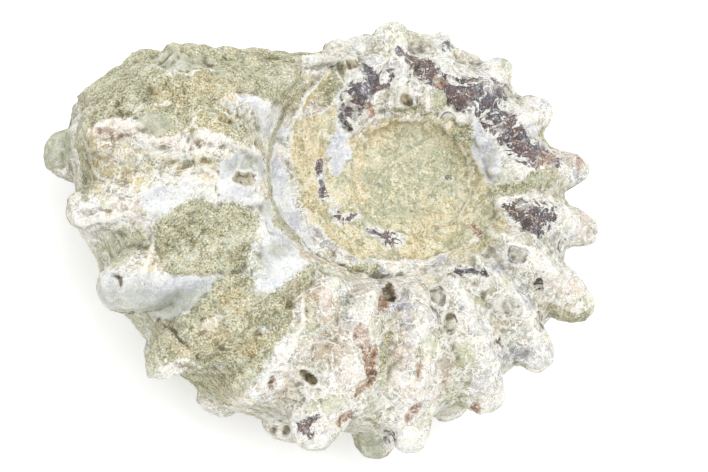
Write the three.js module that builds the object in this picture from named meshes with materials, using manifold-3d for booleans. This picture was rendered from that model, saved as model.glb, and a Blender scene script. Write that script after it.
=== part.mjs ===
// Fossil douvilleiceras ammonite: a thick, planispiral shell filled and partly covered with stone. It lies on
// its lower flank. The last whorl carries strong ribs, each with a tall spine beside the venter and smaller
// tubercles over the flank. Stone fills both umbilici, and the whorl ends in a rough break at its mouth.
// Millimetres, +Z up. The coil is modelled flat, its axis along Z, and is then leant over to lie on the table.
import * as THREE from "three";
import { mergeVertices } from "three/addons/utils/BufferGeometryUtils.js";
import Module from "manifold-3d";

const wasm = await Module();
wasm.setup();

// The coil. Angles are in degrees round the axis from +X, counterclockwise seen from above. They grow from
// the mouth back towards the centre, while the radius shrinks.
const LEFT_ANGLE = 180;
const LEFT_RADIUS = 52.7; // from the axis to the venter, between two ribs, on the left
const GROWTH_PER_TURN = 2.7;
const MOUTH_ANGLE = 100; // the whorl runs on to here before the break cuts it
const OUTER_END_ANGLE = 352; // where the first length of whorl gives over to the second
const INNER_END_ANGLE = 580;
const COIL_STEP = 4.8;
const SECTION_SIDES = 36;

// The whorl's section, as shares of the venter's radius.
const CENTRE_SHARE = 0.66;
const OUTER_SHARE = 0.34;
const INNER_SHARE = 0.31;
const HALF_WIDTH_SHARE = 0.385;
const LOWER_SHARE = 1.04; // and a little thicker
const HALF_WIDTH_LIMIT = 23; // millimetres, approached towards the mouth
const SECTION_POWER = 2.4;
const LOWER_POWER = 2.05; // the lower side is rounder

// Where the whorl reaches in less, and the umbilicus is wider: coil angle, spread, and share taken off.
const UMBILICUS_WIDENINGS = [
  { angle: 190, spread: 48, share: 0.085 },
  { angle: 362, spread: 46, share: 0.11 },
];

// Ribs: the coil angle of each crest, how far the tips of its upper and lower spine reach from the axis, as
// shares of the venter's radius there, and the spines' stoutness. A reach of 1 is a spine worn away.
const RIBS = [
  { angle: 112, upper: 1, lower: 1, stout: 1 },
  { angle: 127, upper: 1, lower: 1, stout: 1 },
  { angle: 142, upper: 1, lower: 1, stout: 1 },
  { angle: 157, upper: 1, lower: 1, stout: 1 },
  { angle: 171, upper: 1.04, lower: 1.045, stout: 0.85 },
  { angle: 185.5, upper: 1.12, lower: 1, stout: 0.8 },
  { angle: 200, upper: 1.13, lower: 1, stout: 1.05 },
  { angle: 215.5, upper: 1.15, lower: 1.02, stout: 0.8 },
  { angle: 231, upper: 1.03, lower: 1.02, stout: 0.9 },
  { angle: 248, upper: 1.11, lower: 1.02, stout: 1.1 },
  { angle: 270, upper: 1.11, lower: 1.09, stout: 0.95 },
  { angle: 291, upper: 1.08, lower: 1.06, stout: 1.05 },
  { angle: 310, upper: 1.115, lower: 1.06, stout: 1.05 },
  { angle: 328, upper: 1.165, lower: 1.1, stout: 1.2 },
  { angle: 348, upper: 1.15, lower: 1.1, stout: 0.95 },
  { angle: 366, upper: 1.15, lower: 1.1, stout: 1.05 },
  { angle: 386, upper: 1.12, lower: 1.1, stout: 1.1 },
  { angle: 404.5, upper: 1.12, lower: 1.08, stout: 1.05 },
  { angle: 427, upper: 1.1, lower: 1.06, stout: 0.9 },
  { angle: 446, upper: 1.14, lower: 1.08, stout: 1.2 },
  { angle: 469, upper: 1.13, lower: 1.08, stout: 1.1 },
  { angle: 490, upper: 1, lower: 1, stout: 1 },
  { angle: 511, upper: 1, lower: 1, stout: 1 },
];
const SMOOTH_FROM = 490; // further in, stone and wear have levelled the ribs
const RIB_LIFT = 0.042;
const WORN_RIB = 0.62; // towards the mouth stone covers the ribs and they stand out less
const WORN_UNTIL = 215;
const SHARP_FROM = 285;
const LOWER_WEAR = 0.75;
const VENTER_GROOVE = 0.03;
const GROOVE_SPREAD = 13;
const RIB_END = 138; // degrees round the section, where a rib dies out towards the seam

// Rows of low tubercles on each rib: place round the section from the venter, height as a share of the
// venter's radius, and spread in degrees.
const TUBERCLE_ROWS = [
  { around: 34, height: 0.05, spread: 15 },
  { around: 66, height: 0.045, spread: 10 },
  { around: 96, height: 0.035, spread: 11 },
  { around: 120, height: 0.035, spread: 10 },
];

// Spines, as shares of the venter's radius.
const SPINE_ROOT = 0.86;
const SPINE_ROOT_RISE = 0.19;
const SPINE_TIP_RISE = 0.205;
const SPINE_FOOT_RADIUS = 0.125;
const SPINE_TIP_RADIUS = 0.058;
const SPINE_SIDES = 8;

// Stone in the two umbilici: a flat disc off the coil's axis, and round it a slope up to the last whorl.
const FILL_X = 3.6;
const FILL_Y = 1.2;
const FILL_LEVEL = 6.4;
const FILL_SIDES = 36;
const FILL_STEPS = [
  { radius: 10.4, above: 0 },
  { radius: 11.6, above: 1.1 },
  { radius: 17, above: 1.3 },
  { radius: 26, above: -1 },
];

// The break at the mouth: flat cuts, each through a point, with the way that it faces.
const BREAKS = [
  { point: [0, 23, 0], faces: [0.02, 1, 0.16] },
  { point: [-30, 17.5, 16], faces: [0.06, 0.62, 0.78] },
  { point: [-44, 19.5, 8], faces: [-0.62, 0.78, 0.25] },
  { point: [-46, 18, -8], faces: [-0.5, 0.85, -0.3] },
];
const BREAK_BLOCK = 160;

// Hollows: the one in the break, with its ledge, and pits left by lost stone. Centre and radii in millimetres.
const HOLLOWS = [
  { centre: [-33, 25.5, 9], radii: [9, 5, 6] },
  { centre: [-38.5, 20.5, 15.5], radii: [6.5, 4, 4] },
  { centre: [-50.8, -17.9, 13.6], radii: [1.5, 1.5, 2.6] },
  { centre: [-56.4, -6.5, 13.2], radii: [2.6, 1.3, 1.9] },
];
const HOLLOW_SIDES = 12;
const HOLLOW_RINGS = 7;

// How the fossil lies: its left and its back are raised a little, because the whorl is thickest there.
const LEFT_RAISED = 6;
const FRONT_RAISED = -2.5;
const TURN = 3.5;
const FLAT_DEPTH = 1.1; // the lowest tubercles are worn flat to this height

const radians = THREE.MathUtils.degToRad;
const bell = (distance, spread) => Math.exp(-((distance / spread) ** 2));

function venterRadius(angle) {
  return LEFT_RADIUS * GROWTH_PER_TURN ** ((LEFT_ANGLE - angle) / 360);
}

// 1 on a rib's crest, 0 midway between two ribs.
function ribWave(angle) {
  const next = RIBS.findIndex((rib) => rib.angle > angle);
  if (next < 1 || angle > SMOOTH_FROM) return 0;
  const before = RIBS[next - 1].angle;
  const phase = (angle - before) / (RIBS[next].angle - before);
  return 0.5 + 0.5 * Math.cos(2 * Math.PI * phase);
}

// How far ribs and tubercles stand out of the plain whorl, in millimetres.
function lift(angle, around) {
  const degrees = Math.abs(THREE.MathUtils.radToDeg(around));
  const sharpness = THREE.MathUtils.lerp(WORN_RIB, 1, THREE.MathUtils.smoothstep(angle, WORN_UNTIL, SHARP_FROM));
  const crest = ribWave(angle) * sharpness * (around < 0 ? LOWER_WEAR : 1);
  const fade = THREE.MathUtils.smoothstep(RIB_END - degrees, 0, 20);
  let height = RIB_LIFT * crest * fade - VENTER_GROOVE * bell(degrees, GROOVE_SPREAD);
  for (const row of TUBERCLE_ROWS) {
    height += row.height * crest ** 3 * bell(degrees - row.around, row.spread);
  }
  return height * venterRadius(angle);
}

// A point of the whorl: its coil angle, the angle round the section from the venter, and the share of the
// way from the section's centre to the surface.
function coilPoint(angle, around, share) {
  const radius = venterRadius(angle);
  const [c, s] = [Math.cos(around), Math.sin(around)];
  let inner = INNER_SHARE;
  for (const wide of UMBILICUS_WIDENINGS) inner -= wide.share * bell(angle - wide.angle, wide.spread);
  const depth = radius * (c > 0 ? OUTER_SHARE : inner);
  const width = ((radius * HALF_WIDTH_SHARE) ** -6 + HALF_WIDTH_LIMIT ** -6) ** (-1 / 6);
  const power = s < 0 ? LOWER_POWER : SECTION_POWER;
  const round = (Math.abs(c) ** power + Math.abs(s) ** power) ** (-1 / power);
  const out = new THREE.Vector2(c / depth, s / width).normalize().multiplyScalar(lift(angle, around));
  const r = radius * CENTRE_SHARE + (depth * round * c + out.x) * share;
  const z = (width * round * s + out.y) * share * (s < 0 ? LOWER_SHARE : 1);
  return new THREE.Vector3(r * Math.cos(radians(angle)), r * Math.sin(radians(angle)), z);
}

// A closed three.js geometry as a solid for joining and cutting.
function solid(geometry) {
  const bare = new THREE.BufferGeometry().setAttribute("position", geometry.getAttribute("position").clone());
  bare.setIndex(geometry.index);
  const merged = mergeVertices(bare, 1e-4);
  const mesh = { numProp: 3, vertProperties: merged.attributes.position.array };
  return new wasm.Manifold(new wasm.Mesh({ ...mesh, triVerts: new Uint32Array(merged.index.array) }));
}

// A length of whorl: a capped tube of unit size, each vertex carried to its place on the coil.
function whorl(from, to) {
  const steps = Math.round((to - from) / COIL_STEP);
  const profile = [new THREE.Vector2(0, 0), new THREE.Vector2(0.5, 0)];
  for (let i = 0; i <= steps; i++) profile.push(new THREE.Vector2(1, i / steps));
  profile.push(new THREE.Vector2(0.5, 1), new THREE.Vector2(0, 1));
  const tube = new THREE.LatheGeometry(profile, SECTION_SIDES);
  const place = tube.getAttribute("position");
  for (let i = 0; i < place.count; i++) {
    const share = Math.hypot(place.getX(i), place.getZ(i));
    const around = Math.atan2(place.getZ(i), place.getX(i));
    const point = coilPoint(from + (to - from) * place.getY(i), around, share);
    place.setXYZ(i, point.x, point.y, point.z);
  }
  return solid(tube);
}

// A blunt spine from its root inside the whorl to its tip. side is 1 above the middle plane and -1 below.
function spine(rib, side) {
  const radius = venterRadius(rib.angle);
  const reach = side > 0 ? rib.upper : rib.lower;
  const tip = new THREE.Vector3(reach * radius, 0, side * SPINE_TIP_RISE * radius);
  const root = new THREE.Vector3(SPINE_ROOT * radius, 0, side * SPINE_ROOT_RISE * radius);
  const length = tip.distanceTo(root);
  const foot = SPINE_FOOT_RADIUS * radius * rib.stout;
  const end = SPINE_TIP_RADIUS * radius * rib.stout;
  const profile = [
    [0, 0],
    [foot, 0],
    [foot * 0.74, length * 0.42],
    [end * 1.25, length - end * 0.9],
    [end * 0.7, length - end * 0.2],
    [0, length],
  ];
  const cone = new THREE.LatheGeometry(profile.map(([x, y]) => new THREE.Vector2(x, y)), SPINE_SIDES);
  const along = tip.clone().sub(root).normalize();
  cone.applyQuaternion(new THREE.Quaternion().setFromUnitVectors(new THREE.Vector3(0, 1, 0), along));
  cone.translate(root.x, root.y, root.z);
  cone.rotateZ(radians(rib.angle));
  return solid(cone);
}

// The stone that fills the umbilicus on both sides.
function umbilicalFill() {
  const profile = [[0, -FILL_LEVEL]];
  for (const step of FILL_STEPS) profile.push([step.radius, -FILL_LEVEL - step.above]);
  for (const step of FILL_STEPS.toReversed()) profile.push([step.radius, FILL_LEVEL + step.above]);
  profile.push([0, FILL_LEVEL]);
  const plug = new THREE.LatheGeometry(profile.map(([x, y]) => new THREE.Vector2(x, y)), FILL_SIDES);
  plug.rotateX(Math.PI / 2);
  plug.translate(FILL_X, FILL_Y, 0);
  return solid(plug);
}

// What lies beyond one flat cut: a block whose lower face is the cut.
function beyond(cut) {
  const block = new THREE.BoxGeometry(BREAK_BLOCK, BREAK_BLOCK, BREAK_BLOCK);
  block.translate(0, 0, BREAK_BLOCK / 2);
  const facing = new THREE.Vector3(...cut.faces).normalize();
  block.applyQuaternion(new THREE.Quaternion().setFromUnitVectors(new THREE.Vector3(0, 0, 1), facing));
  block.translate(...cut.point);
  return solid(block);
}

// A hollow's inside, as an egg-shaped solid.
function hollowBody(hollow) {
  const ball = new THREE.SphereGeometry(1, HOLLOW_SIDES, HOLLOW_RINGS);
  ball.scale(...hollow.radii);
  ball.translate(...hollow.centre);
  return solid(ball);
}

// A solid as a three.js geometry.
function geometryOf(body) {
  const mesh = body.getMesh();
  const geometry = new THREE.BufferGeometry();
  geometry.setAttribute("position", new THREE.BufferAttribute(new Float32Array(mesh.vertProperties), 3));
  geometry.setIndex(new THREE.BufferAttribute(new Uint32Array(mesh.triVerts), 1));
  return geometry;
}

let outer = whorl(MOUTH_ANGLE, OUTER_END_ANGLE);
for (const cut of BREAKS) outer = outer.subtract(beyond(cut));
let fossil = outer.add(whorl(OUTER_END_ANGLE, INNER_END_ANGLE)).add(umbilicalFill());
for (const rib of RIBS) {
  if (rib.upper > 1) fossil = fossil.add(spine(rib, 1));
  if (rib.lower > 1) fossil = fossil.add(spine(rib, -1));
}

for (const hollow of HOLLOWS) fossil = fossil.subtract(hollowBody(hollow));

// Lean the coil over, lower it onto the table, wear its lowest points flat, and centre it.
const shape = geometryOf(fossil);
shape.rotateY(radians(LEFT_RAISED));
shape.rotateX(-radians(FRONT_RAISED));
shape.rotateZ(radians(TURN));
shape.computeBoundingBox();
const lowered = -shape.boundingBox.min.z - FLAT_DEPTH;
shape.translate(0, 0, lowered);
const table = new THREE.BoxGeometry(400, 400, 100);
table.translate(0, 0, -50);
const pieces = solid(shape).subtract(solid(table)).decompose();
pieces.sort((a, b) => b.volume() - a.volume()); // crumbs with no volume are left where lengths of whorl meet
const worn = geometryOf(pieces[0]);
worn.computeBoundingBox();
const middle = worn.boundingBox.getCenter(new THREE.Vector3());
worn.translate(-middle.x, -middle.y, 0);


const stone = new THREE.MeshStandardMaterial({ color: 0xd9d3bd, roughness: 0.62, metalness: 0 });
const ammonite = new THREE.Mesh(worn, stone);
ammonite.name = "ammonite";

const group = new THREE.Group();
group.add(ammonite);
export default group;
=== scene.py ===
import math

import bmesh
import bpy
import numpy as np
from mathutils import Matrix, Vector


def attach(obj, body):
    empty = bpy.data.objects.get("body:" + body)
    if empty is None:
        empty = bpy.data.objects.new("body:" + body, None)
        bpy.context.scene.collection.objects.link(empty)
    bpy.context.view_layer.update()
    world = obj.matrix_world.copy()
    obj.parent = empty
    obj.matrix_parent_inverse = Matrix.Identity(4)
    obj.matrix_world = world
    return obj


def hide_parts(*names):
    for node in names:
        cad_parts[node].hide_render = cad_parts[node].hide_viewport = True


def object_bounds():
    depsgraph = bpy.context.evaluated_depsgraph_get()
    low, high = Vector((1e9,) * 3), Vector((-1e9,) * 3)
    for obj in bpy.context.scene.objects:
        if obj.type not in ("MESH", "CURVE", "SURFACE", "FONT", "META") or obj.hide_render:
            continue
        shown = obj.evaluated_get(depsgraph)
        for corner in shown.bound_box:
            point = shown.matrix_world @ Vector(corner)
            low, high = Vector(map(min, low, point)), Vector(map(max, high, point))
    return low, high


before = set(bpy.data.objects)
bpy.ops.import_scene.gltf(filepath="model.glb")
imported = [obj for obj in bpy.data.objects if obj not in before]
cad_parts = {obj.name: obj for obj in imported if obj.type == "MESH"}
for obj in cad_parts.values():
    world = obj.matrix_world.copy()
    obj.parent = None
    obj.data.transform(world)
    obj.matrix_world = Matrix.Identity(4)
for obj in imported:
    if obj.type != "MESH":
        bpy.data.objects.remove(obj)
cad_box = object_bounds()

# The view: nearly straight down, leaning a little to the fossil's left and its front, from far enough
# away that its spines all point outwards. A pixel of the frame is MM_PER_PIXEL wide on the fossil.
IMAGE_WIDTH = 708
IMAGE_HEIGHT = 472
MM_PER_PIXEL = 0.17
VIEW_DISTANCE = 600.0
LEAN_LEFT = math.radians(12.82)
LEAN_FRONT = math.radians(13.04)
MIDDLE_PIXEL = (330.5, 236.4)  # where the middle of the fossil's box falls in the frame
SENSOR_WIDTH = 36.0
MM = 1000.0  # the fossil is worked out in millimetres, and Blender is in metres

towards = Vector((-math.tan(LEAN_LEFT), -math.tan(LEAN_FRONT), 1.0)).normalized()
view_up = (Vector((0, 1, 0)) - towards * towards.y).normalized()
view_right = view_up.cross(towards)
box_middle = (Vector(cad_box[0]) + Vector(cad_box[1])) * (MM / 2)
aim = box_middle + view_right * (IMAGE_WIDTH / 2 - MIDDLE_PIXEL[0]) * MM_PER_PIXEL
aim += view_up * (MIDDLE_PIXEL[1] - IMAGE_HEIGHT / 2) * MM_PER_PIXEL
eye = aim + towards * VIEW_DISTANCE

camera_data = bpy.data.cameras.new("camera")
camera_data.sensor_width = SENSOR_WIDTH
camera_data.lens = SENSOR_WIDTH * VIEW_DISTANCE / (IMAGE_WIDTH * MM_PER_PIXEL)
camera_data.clip_start = 0.01
camera = bpy.data.objects.new("camera", camera_data)
turned = Matrix((view_right, view_up, towards)).transposed().to_4x4()
camera.matrix_world = Matrix.Translation(eye / MM) @ turned
bpy.context.scene.collection.objects.link(camera)
bpy.context.scene.camera = camera


def in_photo(points):
    """The pixel that each point of the fossil, in millimetres, falls on."""
    away = points - np.array(eye)
    depth = -(away @ np.array(towards))
    scale = VIEW_DISTANCE / depth / MM_PER_PIXEL
    across = away @ np.array(view_right) * scale + IMAGE_WIDTH / 2
    down = IMAGE_HEIGHT / 2 - away @ np.array(view_up) * scale
    return across, down


# The floor is a lit white table, and the light comes from all round, as in a light tent, with one soft lamp
# high above, a little to the back right. Only a faint shadow is left round the fossil's foot.
FLOOR_SIZE = 4.0
FLOOR_COLOUR = (0.92, 0.93, 0.94, 1)
FLOOR_ROUGHNESS = 0.9
FLOOR_SHINE = 0.1
FLOOR_GLOW = 0.23
TENT_STRENGTH = 1.17
LAMP_PLACE = (0.12, 0.16, 1.05)
LAMP_SIZE = 0.4
LAMP_POWER = 3.2

floor_mesh = bmesh.new()
bmesh.ops.create_grid(floor_mesh, x_segments=1, y_segments=1, size=FLOOR_SIZE / 2)
floor_data = bpy.data.meshes.new("floor")
floor_mesh.to_mesh(floor_data)
floor_mesh.free()
floor = bpy.data.objects.new("floor", floor_data)
bpy.context.scene.collection.objects.link(floor)
floor_material = bpy.data.materials.new("white table")
floor_material.use_nodes = True
floor_shader = floor_material.node_tree.nodes["Principled BSDF"]
floor_shader.inputs["Base Color"].default_value = FLOOR_COLOUR
floor_shader.inputs["Roughness"].default_value = FLOOR_ROUGHNESS
floor_shader.inputs["Specular IOR Level"].default_value = FLOOR_SHINE
floor_shader.inputs["Emission Color"].default_value = (1, 1, 1, 1)
floor_shader.inputs["Emission Strength"].default_value = FLOOR_GLOW
floor_data.materials.append(floor_material)

world = bpy.data.worlds.new("light tent")
world.use_nodes = True
world.node_tree.nodes["Background"].inputs["Color"].default_value = (1.0, 1.0, 1.0, 1)
world.node_tree.nodes["Background"].inputs["Strength"].default_value = TENT_STRENGTH
bpy.context.scene.world = world
lamp_data = bpy.data.lights.new("lamp", "AREA")
lamp_data.size = LAMP_SIZE
lamp_data.energy = LAMP_POWER
lamp = bpy.data.objects.new("lamp", lamp_data)
lamp.location = LAMP_PLACE
lamp.rotation_euler = (-Vector(LAMP_PLACE)).to_track_quat("-Z", "Y").to_euler()
bpy.context.scene.collection.objects.link(lamp)
bpy.context.scene.view_settings.view_transform = "Standard"
bpy.context.scene.view_settings.look = "None"

# The shell: a tube that grew along a flat spiral, 2.7 times as wide each turn. It is thick, with a shallow
# groove along its back. Strong ribs cross it, and each rib carries four low tubercles a side.
# All sizes are in millimetres, and angles run round the coil's axis from the mouth back to the centre.
LEFT_ANGLE = 180
LEFT_RADIUS = 52.7
GROWTH_PER_TURN = 2.7
MOUTH_ANGLE = 100
OUTER_END_ANGLE = 352
INNER_END_ANGLE = 580
WHORL_OVERLAP = 2
COIL_STEP = 1.2
SECTION_SIDES = 96
CENTRE_SHARE = 0.66
OUTER_SHARE = 0.34
INNER_SHARE = 0.31
HALF_WIDTH_SHARE = 0.385
LOWER_SHARE = 1.04
HALF_WIDTH_LIMIT = 23.0
LIMIT_EASE = 6.0  # how sharply the width comes up against its limit
SECTION_POWER = 2.4
LOWER_POWER = 2.05
UMBILICUS_WIDENINGS = [(190, 48, 0.085), (362, 46, 0.11)]

# Each rib: the coil angle of its crest, the reach of its upper and lower spine, and their stoutness.
RIBS = [
    (112, 1, 1, 1),
    (127, 1, 1, 1),
    (142, 1, 1, 1),
    (157, 1, 1, 1),
    (171, 1.04, 1.045, 0.85),
    (185.5, 1.12, 1, 0.8),
    (200, 1.13, 1, 1.05),
    (215.5, 1.15, 1.02, 0.8),
    (231, 1.03, 1.02, 0.9),
    (248, 1.11, 1.02, 1.1),
    (270, 1.11, 1.09, 0.95),
    (291, 1.08, 1.06, 1.05),
    (310, 1.115, 1.06, 1.05),
    (328, 1.165, 1.1, 1.2),
    (348, 1.15, 1.1, 0.95),
    (366, 1.15, 1.1, 1.05),
    (386, 1.12, 1.1, 1.1),
    (404.5, 1.12, 1.08, 1.05),
    (427, 1.1, 1.06, 0.9),
    (446, 1.14, 1.08, 1.2),
    (469, 1.13, 1.08, 1.1),
    (490, 1, 1, 1),
    (511, 1, 1, 1),
]
SMOOTH_FROM = 490
RIB_LIFT = 0.042
WORN_RIB = 0.62
WORN_UNTIL = 215
SHARP_FROM = 285
LOWER_WEAR = 0.75
VENTER_GROOVE = 0.03
GROOVE_SPREAD = 13
RIB_END = 138
RIB_FADE = 20
TUBERCLE_SHARPNESS = 3
TUBERCLE_ROWS = [(34, 0.05, 15), (66, 0.045, 10), (96, 0.035, 11), (120, 0.035, 10)]


def smooth_step(low, high, value):
    share = np.clip((value - low) / (high - low), 0.0, 1.0)
    return share * share * (3 - 2 * share)


def bell(distance, spread):
    return np.exp(-((distance / spread) ** 2))


def venter_radius(angle):
    return LEFT_RADIUS * GROWTH_PER_TURN ** ((LEFT_ANGLE - angle) / 360)


def rib_wave(angle):
    """1 on a rib's crest and 0 midway between two ribs."""
    crests = np.array([rib[0] for rib in RIBS], float)
    after = np.clip(np.searchsorted(crests, angle, side="right"), 1, len(crests) - 1)
    phase = (angle - crests[after - 1]) / (crests[after] - crests[after - 1])
    wave = 0.5 + 0.5 * np.cos(2 * np.pi * phase)
    return np.where((angle < crests[0]) | (angle > SMOOTH_FROM), 0.0, wave)


def on_coil(angle, around):
    """Carries points at a coil angle and an angle round the section, in radians, onto the ribbed whorl."""
    radius = venter_radius(angle)
    c, s = np.cos(around), np.sin(around)
    inner = INNER_SHARE - sum(share * bell(angle - at, spread) for at, spread, share in UMBILICUS_WIDENINGS)
    depth = radius * np.where(c > 0, OUTER_SHARE, inner)
    width = (radius * HALF_WIDTH_SHARE) ** -LIMIT_EASE + HALF_WIDTH_LIMIT**-LIMIT_EASE
    width = width ** (-1 / LIMIT_EASE)
    power = np.where(s < 0, LOWER_POWER, SECTION_POWER)
    swell = (np.abs(c) ** power + np.abs(s) ** power) ** (-1 / power)

    degrees = np.abs(np.degrees(around))
    sharpness = WORN_RIB + (1 - WORN_RIB) * smooth_step(WORN_UNTIL, SHARP_FROM, angle)
    crest = rib_wave(angle) * sharpness * np.where(around < 0, LOWER_WEAR, 1.0)
    height = RIB_LIFT * crest * smooth_step(0, RIB_FADE, RIB_END - degrees)
    height = height - VENTER_GROOVE * bell(degrees, GROOVE_SPREAD)
    for at, lift, spread in TUBERCLE_ROWS:
        height = height + lift * crest**TUBERCLE_SHARPNESS * bell(degrees - at, spread)
    height = height * radius

    out = np.stack((c / depth, s / width), -1)
    out /= np.linalg.norm(out, axis=-1, keepdims=True)
    from_axis = radius * CENTRE_SHARE + depth * swell * c + out[..., 0] * height
    along_axis = (width * swell * s + out[..., 1] * height) * np.where(s < 0, LOWER_SHARE, 1.0)
    turn = np.radians(angle)
    return np.stack((from_axis * np.cos(turn), from_axis * np.sin(turn), along_axis), -1)


def grow_whorl(start, end):
    """A straight tube of unit size, carried onto the coil ring by ring."""
    tube = bmesh.new()
    ring = bmesh.ops.create_circle(tube, cap_ends=False, radius=1.0, segments=SECTION_SIDES)["verts"]
    rim = list({edge for vertex in ring for edge in vertex.link_edges})
    steps = round((end - start) / COIL_STEP)
    for _ in range(steps):
        grown = bmesh.ops.extrude_edge_only(tube, edges=rim)["geom"]
        ring = {part for part in grown if isinstance(part, bmesh.types.BMVert)}
        bmesh.ops.translate(tube, verts=list(ring), vec=(0, 0, 1))
        rim = [part for part in grown if isinstance(part, bmesh.types.BMEdge) and set(part.verts) <= ring]
    bmesh.ops.holes_fill(tube, edges=tube.edges, sides=0)
    straight = np.array([vertex.co for vertex in tube.verts])
    angle = start + (end - start) * straight[:, 2] / steps
    around = np.arctan2(straight[:, 1], straight[:, 0])
    for vertex, place in zip(tube.verts, on_coil(angle, around)):
        vertex.co = place
    return tube


outer_whorl = grow_whorl(MOUTH_ANGLE, OUTER_END_ANGLE)
inner_whorl = grow_whorl(OUTER_END_ANGLE - WHORL_OVERLAP, INNER_END_ANGLE)

# The break at the mouth: the stone-filled whorl snapped off along a few nearly flat faces.
BREAKS = [
    ((0, 23, 0), (0.02, 1, 0.16)),
    ((-30, 17.5, 16), (0.06, 0.62, 0.78)),
    ((-44, 19.5, 8), (-0.62, 0.78, 0.25)),
    ((-46, 18, -8), (-0.5, 0.85, -0.3)),
]
for point, facing in BREAKS:
    whole = outer_whorl.verts[:] + outer_whorl.edges[:] + outer_whorl.faces[:]
    cut = {"plane_co": point, "plane_no": facing, "clear_outer": True}
    bmesh.ops.bisect_plane(outer_whorl, geom=whole, dist=1e-5, **cut)
    bmesh.ops.holes_fill(outer_whorl, edges=outer_whorl.edges, sides=0)

# The spines: a blunt hollow knob at the outer end of each rib on both sides, filled with stone.
SPINE_ROOT = 0.86
SPINE_ROOT_RISE = 0.19
SPINE_TIP_RISE = 0.205
SPINE_FOOT_RADIUS = 0.112
SPINE_BLUNTNESS = 0.72
SPINE_SIDES = 28
SPINE_RINGS = 18

spines = bmesh.new()
for angle, upper, lower, stout in RIBS:
    for reach, side in ((upper, 1), (lower, -1)):
        if reach <= 1:
            continue
        radius = venter_radius(angle)
        turn = math.radians(angle)
        outwards = Vector((math.cos(turn), math.sin(turn), 0)) * radius
        root = outwards * SPINE_ROOT + Vector((0, 0, side * SPINE_ROOT_RISE * radius))
        tip = outwards * reach + Vector((0, 0, side * SPINE_TIP_RISE * radius))
        knob = bmesh.ops.create_uvsphere(spines, u_segments=SPINE_SIDES, v_segments=SPINE_RINGS, radius=1.0)
        knob = knob["verts"]
        for vertex in knob:
            around = max(math.hypot(vertex.co.x, vertex.co.y), 1e-6)
            blunted = around**SPINE_BLUNTNESS / around
            vertex.co.x *= blunted
            vertex.co.y *= blunted
        width = SPINE_FOOT_RADIUS * radius * stout
        bmesh.ops.scale(spines, verts=knob, vec=(width, width, (tip - root).length))
        pointing = Vector((0, 0, 1)).rotation_difference(tip - root)
        bmesh.ops.rotate(spines, verts=knob, cent=(0, 0, 0), matrix=pointing.to_matrix())
        bmesh.ops.translate(spines, verts=knob, vec=root)

# The stone in both umbilici: a flat disc off the coil's axis, with a slope round it up to the last whorl.
FILL_X = 3.6
FILL_Y = 1.2
FILL_LEVEL = 6.4
FILL_STEPS = [(10.4, 0), (11.6, 1.1), (17, 1.3), (26, -1)]  # radius, and height over the disc
FILL_SIDES = 72

fill = bmesh.new()
half_profile = [(0, FILL_LEVEL)] + [(radius, FILL_LEVEL + above) for radius, above in FILL_STEPS]
profile = half_profile + [(radius, -level) for radius, level in reversed(half_profile)]
profile_verts = [fill.verts.new((FILL_X + radius, FILL_Y, level)) for radius, level in profile]
profile_edges = [fill.edges.new(pair) for pair in zip(profile_verts, profile_verts[1:])]
bmesh.ops.spin(
    fill,
    geom=profile_verts + profile_edges,
    cent=(FILL_X, FILL_Y, 0),
    axis=(0, 0, 1),
    dvec=(0, 0, 0),
    angle=math.tau,
    steps=FILL_SIDES,
    use_merge=True,
    use_duplicate=False,
)
bmesh.ops.remove_doubles(fill, verts=fill.verts, dist=1e-4)
bmesh.ops.recalc_face_normals(fill, faces=fill.faces)

# One body: shell, spines and stone have turned to rock together. The coil leans over to lie on its flank,
# and its lowest ribs are worn flat where it rests.
LEFT_RAISED = math.radians(6)
BACK_RAISED = math.radians(2.5)
TURN = math.radians(3.5)
COIL_CENTRE = Vector((9.421, 8.899, 17.828))
VOXEL = 0.52
SMOOTH_PASSES = 3
SMOOTH_SHARE = 0.5

lean = Matrix.Rotation(TURN, 3, "Z") @ Matrix.Rotation(BACK_RAISED, 3, "X")
lean = lean @ Matrix.Rotation(LEFT_RAISED, 3, "Y")
rough = bmesh.new()
for grown in (outer_whorl, inner_whorl, spines, fill):
    part_data = bpy.data.meshes.new("part")
    bmesh.ops.recalc_face_normals(grown, faces=grown.faces)
    grown.to_mesh(part_data)
    grown.free()
    rough.from_mesh(part_data)
    bpy.data.meshes.remove(part_data)
bmesh.ops.triangulate(rough, faces=rough.faces)
bmesh.ops.rotate(rough, verts=rough.verts, cent=(0, 0, 0), matrix=lean)
bmesh.ops.translate(rough, verts=rough.verts, vec=COIL_CENTRE)
bmesh.ops.scale(rough, verts=rough.verts, vec=(1 / MM, 1 / MM, 1 / MM))
fossil_data = bpy.data.meshes.new("fossil")
rough.to_mesh(fossil_data)
rough.free()
fossil = bpy.data.objects.new("fossil", fossil_data)
bpy.context.scene.collection.objects.link(fossil)
remesh = fossil.modifiers.new("one body", "REMESH")
remesh.mode = "VOXEL"
remesh.voxel_size = VOXEL / MM
remesh.use_smooth_shade = True
settle = fossil.modifiers.new("settle", "SMOOTH")
settle.factor = SMOOTH_SHARE
settle.iterations = SMOOTH_PASSES


def made_plain(piece):
    """Replaces a piece's mesh by the one its modifiers make, and drops the modifiers."""
    ready = piece.evaluated_get(bpy.context.evaluated_depsgraph_get())
    made = bpy.data.meshes.new_from_object(ready)
    piece.modifiers.clear()
    piece.data = made
    return made


body = made_plain(fossil)
count = len(body.vertices)
edge_ends = np.empty(len(body.edges) * 2, np.int64)
body.edges.foreach_get("vertices", edge_ends)
edge_ends = edge_ends.reshape(-1, 2)
meeting = np.bincount(edge_ends.ravel(), minlength=count).astype(float)


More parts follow.
